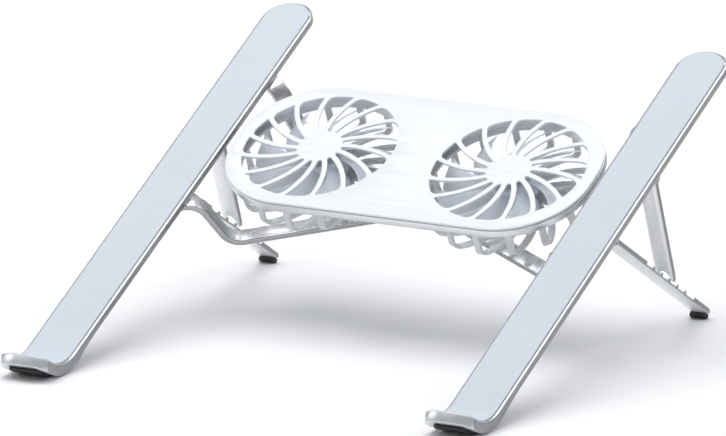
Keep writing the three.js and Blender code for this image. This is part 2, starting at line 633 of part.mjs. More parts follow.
function makeArm(side) {
  const word = side < 0 ? 'left' : 'right';
  const arm = new THREE.Group();
  arm.position.set(side * ARM_X, BASE.y, BASE.z);
  arm.rotation.x = TILT;
  stand.add(arm);
  part(`${word}_arm_rail`, makeRail(side), SILVER, arm);
  part(`${word}_arm_pad`, makePad(), SILICONE, arm);
  part(`${word}_front_foot`, makeFrontFoot(), RUBBER, arm);
  const pinHalf = LEG.half + GAP + LUG.thick + 0.2;
  const pinX = [side * LEG.x - pinHalf, side * LEG.x + pinHalf];
  part(`${word}_leg_pin`, rod(HINGE.pin, ...pinX, LEG.u, HINGE.n), BRIGHT_STEEL, arm);
  part(`${word}_strut_pin`, rod(HINGE.pin, ...pinX, STRUT.u, HINGE.n), BRIGHT_STEEL, arm);

  const leg = new THREE.Group();
  leg.position.set(side * LEG.x, LEG.u, HINGE.n);
  leg.rotation.x = THREE.MathUtils.degToRad(LEG.angle);
  arm.add(leg);
  part(`${word}_leg`, makeLeg(), SILVER, leg);
  part(`${word}_leg_foot`, makeLegFoot(), RUBBER, leg);

  const strut = new THREE.Group();
  strut.position.set(side * LEG.x, STRUT.u, HINGE.n);
  strut.rotation.x = THREE.MathUtils.degToRad(STRUT.angle);
  arm.add(strut);
  part(`${word}_strut`, makeStrut(), SILVER, strut);
}

// Everything carried by the crossing of the links, in a frame centred on it.
const middle = new THREE.Group();
middle.position.set(0, BASE.y + FANS.u * Math.cos(TILT), BASE.z + FANS.u * Math.sin(TILT));
middle.rotation.x = TILT;
stand.add(middle);

// turn is +1 for the bar that runs from the left front to the right rear.
function makeLinkAssembly(name, turn, mid) {
  const rise = (LINK.rear - LINK.front) / 2;
  const reach = Math.hypot(LINK.x, rise);
  const bar = new THREE.Group();
  bar.rotation.z = turn * Math.atan2(rise, LINK.x);
  middle.add(bar);
  part(`link_${name}`, makeLink(mid, reach), SILVER, bar);
  const low = LINK.endTop - LINK.thick - GAP;
  const ends = turn > 0 ? { rear: 1, front: -1 } : { rear: -1, front: 1 };
  for (const [end, side] of Object.entries(ends)) {
    const word = side < 0 ? 'left' : 'right';
    const label = end === 'rear' ? `${word}_rear_pivot` : `${word}_front_slider`;
    const rivet = makeRivet(CHANNEL.ceiling - GAP, CHANNEL.floor + GAP, low);
    part(label, rivet.translate(side * reach, 0, 0), BRIGHT_STEEL, bar);
  }
}

function makeFan(side) {
  const word = side < 0 ? 'left' : 'right';
  const fan = new THREE.Group();
  fan.position.x = side * FANS.x;
  middle.add(fan);
  part(`${word}_fan_cage`, makeCage(), GREY_PLASTIC, fan);
  part(`${word}_fan_rotor`, makeRotor(), BLADE_PLASTIC, fan);
  part(`${word}_fan_motor`, makeMotor(), MOTOR_BLACK, fan);
  const shaftLow = CAGE.bottom + 1.2;
  part(`${word}_fan_shaft`, drum(SHAFT.radius, shaftLow, ROTOR.top - 1.5, 12), BRIGHT_STEEL, fan);
}

makeArm(-1);
makeArm(1);
part('top_cover', makeTopCover(), WHITE_PLASTIC, middle);
part('rim_tray', makeTray(), SILVER, middle);
part('centre_post', makePost(), GREY_PLASTIC, middle);
[-1, 1].forEach((y, i) => part(`post_screw_${i + 1}`, makeScrew(y * POST.screwRing), BRIGHT_STEEL, middle));
const boardLow = TRAY.top - TRAY.deep + TRAY.floor + GAP;
part('circuit_board', block(-BOARD.half, BOARD.half, BOARD.from, BOARD.to, boardLow, boardLow + BOARD.thick),
  BOARD_GREEN, middle);
part('power_socket', makeSocket(), BRIGHT_STEEL, middle);
part('centre_rivet', turned([
  [0, LINK_TOP.lower - LINK.thick - 2.4], [5, LINK_TOP.lower - LINK.thick - 2.0],
  [6, LINK_TOP.lower - LINK.thick - GAP], [PIVOT.shank, LINK_TOP.lower - LINK.thick - GAP],
  [PIVOT.shank, TRAY.top - TRAY.deep - 1], [0, TRAY.top - TRAY.deep - 1],
]), BRIGHT_STEEL, middle);
makeLinkAssembly('lower', 1, LINK_TOP.lower);
makeLinkAssembly('upper', -1, LINK_TOP.upper);
makeFan(-1);
makeFan(1);

export default stand;
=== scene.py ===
"""Looks of the foldable laptop cooling stand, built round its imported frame. Metres, +Z up."""
import json
import math

import bmesh
import bpy
from mathutils import Matrix, Vector
from mathutils.geometry import tessellate_polygon


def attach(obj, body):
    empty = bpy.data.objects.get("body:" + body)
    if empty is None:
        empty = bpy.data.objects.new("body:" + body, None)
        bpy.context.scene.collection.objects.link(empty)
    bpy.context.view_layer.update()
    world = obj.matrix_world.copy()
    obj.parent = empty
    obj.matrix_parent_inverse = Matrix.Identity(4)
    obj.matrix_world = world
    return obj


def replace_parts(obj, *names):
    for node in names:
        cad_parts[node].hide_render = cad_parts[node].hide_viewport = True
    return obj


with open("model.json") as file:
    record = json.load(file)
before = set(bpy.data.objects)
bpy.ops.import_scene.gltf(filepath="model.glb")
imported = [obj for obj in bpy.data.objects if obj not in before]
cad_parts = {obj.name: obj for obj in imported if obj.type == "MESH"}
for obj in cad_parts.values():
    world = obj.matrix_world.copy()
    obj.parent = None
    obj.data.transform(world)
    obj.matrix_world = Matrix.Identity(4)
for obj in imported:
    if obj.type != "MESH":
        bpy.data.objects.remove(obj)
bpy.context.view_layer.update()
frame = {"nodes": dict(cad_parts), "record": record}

# ---------------------------------------------------------------- camera
camera_data = bpy.data.cameras.new("camera")
camera_data.sensor_width = 36
camera_data.lens = 562.4
camera_data.clip_end = 30
camera = bpy.data.objects.new("camera", camera_data)
bpy.context.scene.collection.objects.link(camera)
camera.location = (2.38564, -4.55577, 1.34266)
aim = Vector((0.004168, -0.0151, 0.06445)) - camera.location
camera.rotation_euler = aim.to_track_quat("-Z", "Y").to_euler()
bpy.context.scene.camera = camera
bpy.context.scene.view_settings.view_transform = "Standard"

# ---------------------------------------------------------------- sizes, in millimetres
MM = 0.001
TILT = math.radians(25.5)  # slope of the arms
ARM_X = 110.6  # centre line of each arm
BASE = Vector((0, -115.1, 5.4))  # where the arms' top plane starts
ARM_END = 277.48
ARM_HALF = 12.85
CURL_FROM, CURL_RADIUS, CURL_ANGLE = 7.75, 24.1, math.radians(69.1)
LIP_TIP = CURL_FROM - CURL_RADIUS * CURL_ANGLE
LIP_WIDE, LIP_LONG = 9.3, 4.3  # half axes of the lip's elliptic corners
WALL_REAR, WALL_LIP = 3.8, 5.5  # how deep the walls hang behind WALL_EVEN and at the lip
WALL_EVEN = 22
WALL_UPRIGHT = 0.55  # how far the lip's walls hang upright instead of along the curl's radius
CEILING = -1.6  # underside of the arm's web
TRACK_HALF = 12.1
LEG_X, LEG_HALF = 4.9, 4.6
LEG_U, STRUT_U, HINGE_N = 140.9, 188.3, -5.8  # hinge pins of the legs and props
LINK_X, LINK_REAR, LINK_FRONT = 104.3, 225, 127  # pins of the crossed bars
LINK_TOPS = {"upper": -26.4, "lower": -29.8}
FAN_U = (LINK_REAR + LINK_FRONT) / 2
FAN_X = 50
HALF_X, HALF_Y, CORNER = 94.5, 44.5, 40  # outline of the fan module
TRAY_TOP, TRAY_LOW, TRAY_FLOOR = -2.5, -6.5, -5.3
CAGE_LOW = -21.4
SPOKES, RIBS, BLADES = 16, 16, 9  # of each grille, cage and rotor
SIDES = {"left": -1, "right": 1}


def tilted(x, u, n=0):
    """Frame of a point of the tilted plane: u runs up the slope, n stands on it."""
    place = Matrix.Translation(BASE) @ Matrix.Rotation(TILT, 4, "X")
    return place @ Matrix.Translation((x, u, n))


# ---------------------------------------------------------------- materials
def finish(name, color, roughness, metallic=0.0, tint=0.94, mottle=90, swing=0.08, grain=1800,
           bump=0.02, stretch=None, wear=0.0, painted_side_shade=None, **sockets):
    """A procedural finish. Its bump is in millimetres, and its texture scales are in 1/m.

    mottle: scale of the wide colour patches; grain: scale of the fine pattern and relief;
    tint: how dark the second colour of the mottling is; swing: how far the roughness wanders;
    stretch: scale of the grain along X, along the slope and across it, for a brushed surface;
    wear: how much paler the edges are;
    painted_side_shade: (axis, factor, factor, level, level), the colour's factors at two levels of the
    object-space normal's part along an axis: on metal, painted shade that darkens the faces turned along
    that axis, as if less light fell on them."""
    mat = bpy.data.materials.new(name)
    mat.use_nodes = True
    nodes, links = mat.node_tree.nodes, mat.node_tree.links
    shader = nodes["Principled BSDF"]
    shader.inputs["Metallic"].default_value = metallic
    for socket, value in sockets.items():
        shader.inputs[socket.replace("_", " ")].default_value = value
    place = nodes.new("ShaderNodeTexCoord").outputs["Object"]
    if stretch:
        mapping = nodes.new("ShaderNodeMapping")
        mapping.vector_type = "TEXTURE"
        mapping.inputs["Rotation"].default_value = (TILT, 0, 0)
        mapping.inputs["Scale"].default_value = [1 / s for s in stretch]
        links.new(place, mapping.inputs["Vector"])
        fine_place = mapping.outputs["Vector"]
    else:
        fine_place = place

    def noise(scale, detail, vector):
        node = nodes.new("ShaderNodeTexNoise")
        node.inputs["Scale"].default_value = scale
        node.inputs["Detail"].default_value = detail
        links.new(vector, node.inputs["Vector"])
        return node.outputs["Fac"]

    def spread(value, low, high, start=0.35, end=0.65):
        node = nodes.new("ShaderNodeMapRange")
        node.inputs["From Min"].default_value = start
        node.inputs["From Max"].default_value = end
        node.inputs["To Min"].default_value = low
        node.inputs["To Max"].default_value = high
        links.new(value, node.inputs["Value"])
        return node.outputs["Result"]

    def blend(factor, first, second):
        node = nodes.new("ShaderNodeMix")
        node.data_type = "RGBA"
        links.new(factor, node.inputs["Factor"])
        for socket, value in ((node.inputs[6], first), (node.inputs[7], second)):
            if isinstance(value, tuple):
                socket.default_value = value
            else:
                links.new(value, socket)
        return node.outputs[2]

    pale = (*color, 1)
    dark = (*(c * tint for c in color), 1)
    tone = blend(spread(noise(mottle, 3, place), 0, 1), dark, pale)
    fine = noise(1.0 if stretch else grain, 2, fine_place)
    tone = blend(spread(fine, 0, 0.5), tone, dark)
    if wear:
        edge = nodes.new("ShaderNodeNewGeometry").outputs["Pointiness"]
        bright = (*(min(c * (1 + wear), 1) for c in color), 1)
        tone = blend(spread(edge, 0, 1, 0.52, 0.6), tone, bright)
    # Painted shade: the colour is scaled down on faces whose object-space normal lies along the given axis,
    # as if less light fell on them.
    if painted_side_shade:
        axis, first, second, low, high = painted_side_shade
        parts = nodes.new("ShaderNodeSeparateXYZ")
        links.new(nodes["Texture Coordinate"].outputs["Normal"], parts.inputs[0])
        size = nodes.new("ShaderNodeMath")
        size.operation = "ABSOLUTE"
        links.new(parts.outputs[axis], size.inputs[0])
        factor = spread(size.outputs[0], first, second, low, high)
        scale = nodes.new("ShaderNodeVectorMath")
        scale.operation = "SCALE"
        links.new(tone, scale.inputs[0])
        links.new(factor, scale.inputs["Scale"])
        tone = scale.outputs[0]
    links.new(tone, shader.inputs["Base Color"])
    wander = noise(mottle * 3.1, 3, place)
    links.new(spread(wander, roughness - swing / 2, roughness + swing / 2), shader.inputs["Roughness"])
    relief = nodes.new("ShaderNodeBump")
    relief.inputs["Distance"].default_value = bump * MM
    relief.inputs["Strength"].default_value = 1
    links.new(fine, relief.inputs["Height"])
    links.new(relief.outputs["Normal"], shader.inputs["Normal"])
    return mat


# Painted shade: faces whose normal lies along X, such as the rails' side walls, are darkened to 0.36 of the
# colour, and the rest to 0.9.
SILVER = finish("silver_anodised", (0.84, 0.85, 0.87), 0.34, 1.0, tint=0.95, mottle=60,
                stretch=(2600, 120, 2600), bump=0.012, wear=0.1, painted_side_shade=("X", 0.9, 0.36, 0.78, 0.97))
# A paler, less metallic copy of the rails' silver, so the legs' webs read white: painted light. Faces whose
# normal lies along X, the channels' side walls, are painted dark as shade, down to 0.24 of the colour.
LEG_SILVER = finish("silver_channel", (0.95, 0.955, 0.965), 0.36, 0.5, tint=0.96, mottle=60,
                    stretch=(2600, 120, 2600), bump=0.012, wear=0.05, painted_side_shade=("X", 1.0, 0.24, 0.55, 0.96))
# Painted shade and painted dark reflection: faces that stand steep to Z, the bars' S-bends and edges, are
# darkened to 0.52 of the colour, while flat tops keep it.
BAR_SILVER = finish("silver_pressed", (0.92, 0.92, 0.93), 0.26, 1.0, tint=0.95, mottle=70, grain=2400,
                    bump=0.008, wear=0.1, painted_side_shade=("Z", 0.52, 1.0, 0.5, 0.86))
STEEL = finish("pin_steel", (0.72, 0.72, 0.73), 0.26, 1.0, tint=0.9, mottle=300, grain=5000,
               bump=0.01, wear=0.2)
SILICONE = finish("silicone", (0.63, 0.69, 0.75), 0.62, tint=0.975, mottle=25, swing=0.06,
                  grain=3200, bump=0.012, Specular_IOR_Level=0.35, Sheen_Weight=0.12,
                  Sheen_Roughness=0.5)
WHITE = finish("white_lacquer", (0.84, 0.86, 0.885), 0.36, tint=0.985, mottle=30, grain=2600,
               bump=0.008, Coat_Weight=0.15, Coat_Roughness=0.25)
CAGE_GREY = finish("cage_plastic", (0.70, 0.71, 0.73), 0.38, tint=0.93, mottle=120, grain=2200,
                   bump=0.015, wear=0.15)
BLADE = finish("blade_plastic", (0.72, 0.77, 0.84), 0.30, tint=0.93, mottle=60, grain=2000,
               bump=0.008, Subsurface_Weight=0.1, Subsurface_Scale=0.004)
RUBBER = finish("black_rubber", (0.022, 0.023, 0.025), 0.7, tint=0.7, mottle=200, grain=2600,
                bump=0.05, wear=0.8)
MOTOR = finish("motor_shell", (0.08, 0.085, 0.09), 0.45, 0.3, tint=0.85, mottle=200, grain=3000,
               bump=0.02)
BOARD = finish("solder_mask", (0.02, 0.10, 0.05), 0.4, tint=0.7, mottle=700, grain=4000, bump=0.02)


# ---------------------------------------------------------------- pieces
def piece(name, verts, faces, place, material, body, sharp=35):
    """A mesh from millimetre points in the frame `place`, riding on a body."""
    mesh = bpy.data.meshes.new(name)
    mesh.from_pydata([(place @ Vector(v)) * MM for v in verts], [], faces)
    build = bmesh.new()
    build.from_mesh(mesh)
    bmesh.ops.remove_doubles(build, verts=build.verts, dist=1e-6)
    bmesh.ops.recalc_face_normals(build, faces=build.faces)
    build.to_mesh(mesh)
    build.free()
    return settle(name, mesh, material, body, sharp)


def settle(name, mesh, material, body, sharp):
    """The mesh as an object in its material, smooth up to the sharp angle, riding on a body."""
    mesh.materials.clear()
    mesh.materials.append(material)
    mesh.shade_smooth()
    mesh.set_sharp_from_angle(angle=math.radians(sharp))
    made = bpy.data.objects.new(name, mesh)
    bpy.context.scene.collection.objects.link(made)
    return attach(made, body)


def bevelled(mesh, width):
    """The mesh with its edges rounded where two faces meet at more than 30 degrees."""
    holder = bpy.data.objects.new("holder", mesh)
    bpy.context.scene.collection.objects.link(holder)
    modifier = holder.modifiers.new("round_edges", "BEVEL")
    modifier.width = width * MM
    modifier.segments = 3
    modifier.limit_method = "ANGLE"
    modifier.angle_limit = math.radians(30)
    modifier.use_clamp_overlap = True
    graph = bpy.context.evaluated_depsgraph_get()
    result = bpy.data.meshes.new_from_object(holder.evaluated_get(graph))
    bpy.data.objects.remove(holder)
    return result


BODY_OF = {}
for body, members in frame["record"]["behaviour"]["bodies"].items():
    BODY_OF.update((node, body) for node in members)


def refine(node, material, bevel):
    """Replaces a CAD node by itself with its flats merged, its edges rounded and its round faces smooth."""
    mesh = frame["nodes"][node].data.copy()
    build = bmesh.new()
    build.from_mesh(mesh)
    bmesh.ops.remove_doubles(build, verts=build.verts, dist=2e-6)
    bmesh.ops.dissolve_limit(build, angle_limit=math.radians(1), verts=build.verts, edges=build.edges)
    build.to_mesh(mesh)
    build.free()
    made = settle(node + "_fine", bevelled(mesh, bevel), material, BODY_OF[node], sharp=38)
    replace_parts(made, node)


def rings_to_faces(count, rings, closed=False):
    """Quads between rings of count points; closed joins the last ring to the first."""
    faces = []
    for k in range(rings if closed else rings - 1):
        for i in range(count):
            j = (i + 1) % count
            a, b = k * count, ((k + 1) % rings) * count
            faces.append((a + i, a + j, b + j, b + i))
    return faces


def strip_cap(count, start):
    """Quads across a ring whose second half mirrors the first."""
    end = start + count - 1
    return [(start + i, start + i + 1, end - 1 - i, end - i) for i in range(count // 2 - 1)]


def end_caps(first, count, rings):
    """One face over the first ring and one over the last, for rings that start at vertex `first`."""
    last = first + count * (rings - 1)
    return [tuple(range(start, start + count)) for start in (first, last)]


def shifted(faces, first):
    return [tuple(first + v for v in face) for face in faces]


def steps(start, end, count):
    """count + 1 evenly spaced values from start to end."""
    return [start + (end - start) * i / count for i in range(count + 1)]


def loop_normals(loop):
    """Unit normals on the left of a closed loop's direction."""
    normals = []
    for i in range(len(loop)):
        along = Vector(loop[(i + 1) % len(loop)]) - Vector(loop[i - 1])
        normals.append(Vector((-along.y, along.x)).normalized())
    return normals


def plate_mesh(loops, low, high, bevel):
    """Flat piece with rounded edges: the outer loop runs anticlockwise and the holes clockwise."""
    profile = [(bevel, low), (bevel * 0.3, low + bevel * 0.3), (0, low + bevel), (0, high - bevel),
               (bevel * 0.3, high - bevel * 0.3), (bevel, high)]
    verts, faces, lids = [], [], {low: [], high: []}
    for loop in loops:
        normals = loop_normals(loop)
        first = len(verts)
        for inset, z in profile:
            verts += [(*(Vector(p) + n * inset), z) for p, n in zip(loop, normals)]
        count = len(loop)
        faces += shifted(rings_to_faces(count, len(profile)), first)
        last = first + count * (len(profile) - 1)
        lids[low].append(range(first, first + count))
        lids[high].append(range(last, last + count))
    for lid in lids.values():
        flat = [v for ring in lid for v in ring]
        outlines = [[Vector((verts[v][0], verts[v][1], 0)) for v in ring] for ring in lid]
        faces += [tuple(flat[i] for i in triangle) for triangle in tessellate_polygon(outlines)]
    return verts, faces


def plate(name, loops, low, high, bevel, place, material, body):
    """A flat piece, as of plate_mesh, riding on a body."""
    verts, faces = plate_mesh(loops, low, high, bevel)
    return piece(name, verts, faces, place, material, body)


def arc(x, y, radius, start, end, count):
    """Points of an arc round (x, y)."""
    return [(x + radius * math.cos(a), y + radius * math.sin(a)) for a in steps(start, end, count)]


def rounded_box(half_x, half_y, corner, count):
    """Rectangle with round corners, anticlockwise, with count + 1 points to a corner."""
    x, y = half_x - corner, half_y - corner
    points = []
    for i, (sx, sy) in enumerate(((1, 1), (-1, 1), (-1, -1), (1, -1))):
        start = i * math.pi / 2
        points += arc(sx * x, sy * y, corner, start, start + math.pi / 2, count)
    return points


def circle(x, y, radius, count, clockwise=False):
    loop = arc(x, y, radius, 0, 2 * math.pi, count)[:-1]
    return loop[::-1] if clockwise else loop


# ---------------------------------------------------------------- arms
def on_arm(s, h):
    """Slope position and height of a point: s runs along the surface, which curls up ahead of CURL_FROM."""
    if s >= CURL_FROM:
        return s, h
    angle = (CURL_FROM - s) / CURL_RADIUS
    lean = angle
    if h <= CEILING:
        lean -= WALL_UPRIGHT * max(angle - TILT, 0)
    s, n = CURL_FROM - CURL_RADIUS * math.sin(angle), CURL_RADIUS - CURL_RADIUS * math.cos(angle)
    return s + h * math.sin(lean), n + h * math.cos(lean)


def arm_outline(inset):
    """Loop of (s, x) round the arm at a distance inside its edge; the second half mirrors the first."""
    half = ARM_HALF - inset
    front = LIP_TIP + inset
    wide, long = LIP_WIDE - inset / 2, LIP_LONG - inset / 2
    rear = ARM_END - ARM_HALF
    right = [(front + long * (1 - math.cos(a)), half - wide * (1 - math.sin(a)))
             for a in steps(0, math.pi / 2, 20)]
    right += [(s, half) for s in steps(front + long, CURL_FROM, 22)[1:]]
    right += [(s, half) for s in steps(CURL_FROM, rear, 26)[1:]]
    almost = math.radians(89)  # keeps the mirrored ends of the ring apart
    right += [(rear + half * math.sin(a), half * math.cos(a)) for a in steps(0, almost, 26)[1:]]
    return right + [(s, -x) for s, x in reversed(right)]


def wall_depth(s):
    """How far the walls hang below the top at s."""
    share = min(max((WALL_EVEN - s) / (WALL_EVEN - CURL_FROM), 0), 1)
    return WALL_REAR + (WALL_LIP - WALL_REAR) * share


def arm_strip(name, profile, place, material, body):
    """A strip along the arm whose edge has the profile of (inset, height) points, closed above and below."""
    verts = []
    for inset, height in profile:
        for s, x in arm_outline(inset):
            h = height
            if height <= CEILING:
                h = CEILING + (height - CEILING) * ((wall_depth(s) + CEILING) / (WALL_REAR + CEILING))
            verts.append((x, *on_arm(s, h)))
    count = len(arm_outline(0))
    faces = rings_to_faces(count, len(profile))
    faces += strip_cap(count, 0) + strip_cap(count, count * (len(profile) - 1))
    return piece(name, verts, faces, place, material, body, sharp=50)


RAIL_EDGE = [(1.2, CEILING), (1.2, -3.7), (1.1, -3.8), (0.14, -3.8), (0.03, -3.74), (0, -3.6), (0, -0.8),
             (0.04, -0.68), (0.12, -0.56), (0.66, -0.06), (0.74, -0.01), (0.78, 0), (0.82, -0.01),
             (0.85, -0.06), (0.85, -1.3)]
PAD_EDGE = [(1.32, -0.5), (1.32, 0.06), (1.36, 0.18), (1.44, 0.3), (1.58, 0.38), (1.78, 0.4)]


def make_lip_web(name, place, body):
    """Curved plate that closes the channel below the curl, between the front foot and the pad's bed."""
    profile = [(0, 0.25), (0.04, 0.1), (0.2, 0), (1.1, 0), (1.3, 0.2)]  # (depth, inset) of its side
    outer = CURL_RADIUS + WALL_LIP - 0.2
    widest, taper = 12.2, 3.4
    narrows, tip = 56, 62.5  # degrees along the curl
    angles = steps(math.radians(8), math.radians(tip), 30)
    verts = []
    for angle in angles:
        half = widest - taper * max(0, math.degrees(angle) - narrows) / (tip - narrows)
        for side in (-1, 1):
            for depth, inset in profile[::-side]:
                r = outer - depth
                verts.append((side * (half - inset), CURL_FROM - r * math.sin(angle),
                              CURL_RADIUS - r * math.cos(angle)))
    count = 2 * len(profile)
    faces = rings_to_faces(count, len(angles)) + end_caps(0, count, len(angles))
    return piece(name, verts, faces, place, SILVER, body)


def make_lug(name, x, u, place, body):
    """Round-ended ear under the rail that holds one end of a hinge pin."""
    half, tip, bore, thick = 5, 2.5, 1.5, 1.0
    root = CEILING + 0.2  # ends inside the rail
    outer = [(half, root), (-half, root), (-half, -WALL_REAR)]
    outer += arc(0, HINGE_N, tip, math.pi, 2 * math.pi, 24) + [(half, -WALL_REAR)]
    hole = circle(0, HINGE_N, bore, 32, clockwise=True)
    upright = Matrix(((0, 0, 1, 0), (1, 0, 0, 0), (0, 1, 0, 0), (0, 0, 0, 1)))
    where = place @ Matrix.Translation((x, u, 0)) @ upright
    return plate(name, [outer, hole], -thick / 2, thick / 2, 0.1, where, SILVER, body)


def make_track(name, side, place, body):
    """Plate under the rail's inner half, with a slot for one link's pin and the eye of the other link."""
    inner, outer = sorted((side * -TRACK_HALF, side * -0.8))
    slot_x = side * (LINK_X - ARM_X)
    front, rear = 90, LINK_REAR + 9
    slot_front, slot_rear, slot_half, eye = 98.4, 197.6, 2.4, 2.3
    outline = [(inner, front), (outer, front), (outer, rear), (inner, rear)]
    slot = arc(slot_x, slot_front, slot_half, math.pi, 2 * math.pi, 16)
    slot += arc(slot_x, slot_rear, slot_half, 0, math.pi, 16)
    loops = [outline, slot[::-1], circle(slot_x, LINK_REAR, eye, 32, clockwise=True)]
    return plate(name, loops, -WALL_REAR, -3.0, 0.12, place, SILVER, body)


for word, side in SIDES.items():
    arm = word + "_arm"
    here = tilted(side * ARM_X, 0)
    rail = arm_strip(word + "_rail", RAIL_EDGE, here, SILVER, arm)
    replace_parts(rail, word + "_arm_rail")
    pad = arm_strip(word + "_pad", PAD_EDGE, here, SILICONE, arm)
    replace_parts(pad, word + "_arm_pad")
    make_lip_web(word + "_lip_web", here, arm)
    make_track(word + "_guide_track", side, here, arm)
    for u, role in ((LEG_U, "leg"), (STRUT_U, "strut")):
        for away in (-1, 1):
            x = side * LEG_X + away * (LEG_HALF + 0.3 + 0.5)  # a gap and half a lug beside the channel
            make_lug(f"{word}_{role}_lug_{1 if away < 0 else 2}", x, u, here, arm)
    refine(word + "_front_foot", RUBBER, 0.35)
    refine(word + "_leg_foot", RUBBER, 0.25)
    refine(word + "_leg", LEG_SILVER, 0.22)
    refine(word + "_strut", LEG_SILVER, 0.22)
    for pin in ("leg_pin", "strut_pin", "rear_pivot", "front_slider"):
        refine(f"{word}_{pin}", STEEL, 0.2)


# ---------------------------------------------------------------- link bars
def make_bar(name, level, turn, place):
    """Flat bar with rounded edges and round ends, which rise in S-bends."""
    rise = (LINK_REAR - LINK_FRONT) / 2
    reach = math.hypot(LINK_X, rise)
    end, thick, half = -4.3, 3.0, 4.5
    bend, radius = math.radians(68), 10
    start = reach - 3.6  # where the first bend begins
    straight = (end - level - 2 * radius * (1 - math.cos(bend))) / math.sin(bend)
    run = 2 * radius * math.sin(bend) + straight * math.cos(bend)
    low = start - run
    # The bar's top line from an end inwards: (distance from the centre, height, lean).
    fall = [(start - radius * math.sin(a), end - radius * (1 - math.cos(a)), a)
            for a in steps(0, bend, 14)]
    fall += [(low + radius * math.sin(a), level + radius * (1 - math.cos(a)), a)
             for a in steps(bend, 0, 14)]
    flat = [(x, level, 0) for x in steps(low, -low, 30)[1:-1]]
    along = fall + flat + [(-x, z, -a) for x, z, a in reversed(fall)]
    overhang, round_end = 4.9, 4.4
    centre = reach + overhang - round_end
    turns = steps(0.02, math.pi / 2, 16)  # starts off the axis, to keep the mirrored points apart

    def outline(inset):
        radius_here = round_end - inset
        right = [(centre + radius_here * math.cos(a), radius_here * math.sin(a), end, 0) for a in turns]
        right += [(x, half - inset, z, lean) for x, z, lean in along]
        right += [(-x, y, z, lean) for x, y, z, lean in reversed(right[:len(turns)])]
        return right + [(x, -y, z, lean) for x, y, z, lean in reversed(right)]

    edge = [(0.7, -1.5), (0.3, -1.4), (0.08, -1.15), (0, -0.8)]
    edge += [(inset, -h) for inset, h in reversed(edge)]
    verts = []
    for inset, h in edge:
        for x, y, z, lean in outline(inset):
            verts.append((x - h * math.sin(lean), y, z - thick / 2 + h * math.cos(lean)))
    count = len(outline(0))
    faces = rings_to_faces(count, len(edge))
    faces += strip_cap(count, 0) + strip_cap(count, count * (len(edge) - 1))
    where = place @ Matrix.Rotation(turn * math.atan2(rise, LINK_X), 4, "Z")
    bar = piece(f"link_bar_{name}", verts, faces, where, BAR_SILVER, f"{name}_bar", sharp=60)
    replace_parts(bar, f"link_{name}")


MIDDLE = tilted(0, FAN_U)
make_bar("lower", LINK_TOPS["lower"], 1, MIDDLE)
make_bar("upper", LINK_TOPS["upper"], -1, MIDDLE)


# ---------------------------------------------------------------- fan module
def curve(a, control, b, count):
    """Points of a quadratic arc from a to b, without b."""
    a, control, b = Vector(a), Vector(control), Vector(b)
    return [a * (1 - t) ** 2 + control * 2 * t * (1 - t) + b * t * t for t in steps(0, 1, count)[:-1]]


def grille_slot(index, x):
    """Opening between two curved spokes of the grille, clockwise."""
    outer, inner, spoke = 38, 10.4, 2.6
    step = 2 * math.pi / SPOKES
    start = math.radians(-2.9) + index * step
    twist = math.radians(17.5)
    small, wide, rise = 0.7, 3.2, 3  # corners at the outer rim: a tight one and a long one
    hub_corner = 1.4

    def middle(r):
        return start + twist * (outer - r) / (outer - inner)

    def at(r, angle):
        return Vector((x + r * math.cos(angle), r * math.sin(angle)))

    def near(r):
        return at(r, middle(r) + spoke / 2 / r)

    def far(r):
        return at(r, middle(r) + step - spoke / 2 / r)

    first = middle(outer) + spoke / 2 / outer
    last = middle(outer) + step - spoke / 2 / outer
    low = inner + hub_corner
    points = [near(r) for r in steps(low, outer - small, 14)]
    points += curve(near(outer - small), at(outer, first), at(outer, first + small / outer), 5)[1:]
    points += [at(outer, a) for a in steps(first + small / outer, last - wide / outer, 10)]
    points += curve(at(outer, last - wide / outer), at(outer, last), far(outer - rise), 9)[1:]
    points += [far(r) for r in steps(outer - rise, low, 14)]
    points += curve(far(low), at(inner - 0.2, middle(inner) + step / 2), near(low), 7)[1:]
    return [tuple(p) for p in points][::-1]


cover_gap = 0.25
cover_loops = [rounded_box(HALF_X - cover_gap, HALF_Y - cover_gap, CORNER - cover_gap, 32)]
for side in SIDES.values():
    cover_loops += [grille_slot(i, side * FAN_X) for i in range(SPOKES)]
cover = plate("grille_cover", cover_loops, -2.2, -1.1, 0.16, MIDDLE, WHITE, "fan_module")
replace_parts(cover, "top_cover")


def make_tray():
    """Band round the module, rolled under at its lower edge, and its floor with two collared openings."""
    edge = [(1.6, TRAY_TOP), (0.3, TRAY_TOP), (0.08, TRAY_TOP - 0.08), (0, TRAY_TOP - 0.3), (0, -5.6),
            (0.1, -6.0), (0.35, -6.3), (0.8, -6.48), (1.3, TRAY_LOW), (2.4, TRAY_LOW), (2.4, TRAY_FLOOR),
            (1.6, TRAY_FLOOR)]
    opening, collar_in, collar_out = 38.6, 38.7, 40.2
    screw_hole, screw_y = 1.7, 15
    floor_inset = 2.2
    verts = []
    for inset, z in edge:
        loop = rounded_box(HALF_X - inset, HALF_Y - inset, CORNER - inset, 32)
        verts += [(*p, z) for p in loop]
    count = len(loop)
    faces = rings_to_faces(count, len(edge), closed=True)
    bottom = [rounded_box(HALF_X - floor_inset, HALF_Y - floor_inset, CORNER - floor_inset, 32)]
    bottom += [circle(x, 0, opening, 96, clockwise=True) for x in (-FAN_X, FAN_X)]
    bottom += [circle(0, y, screw_hole, 24, clockwise=True) for y in (-screw_y, screw_y)]
    parts = [plate_mesh(bottom, TRAY_LOW, TRAY_FLOOR, 0.1)]
    for x in (-FAN_X, FAN_X):
        collar = [circle(x, 0, collar_out, 96), circle(x, 0, collar_in, 96, clockwise=True)]
        parts.append(plate_mesh(collar, -5.6, TRAY_TOP, 0.2))
    for more_verts, more_faces in parts:
        faces += shifted(more_faces, len(verts))
        verts += more_verts
    return piece("module_tray", verts, faces, MIDDLE, SILVER, "fan_module")


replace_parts(make_tray(), "rim_tray")


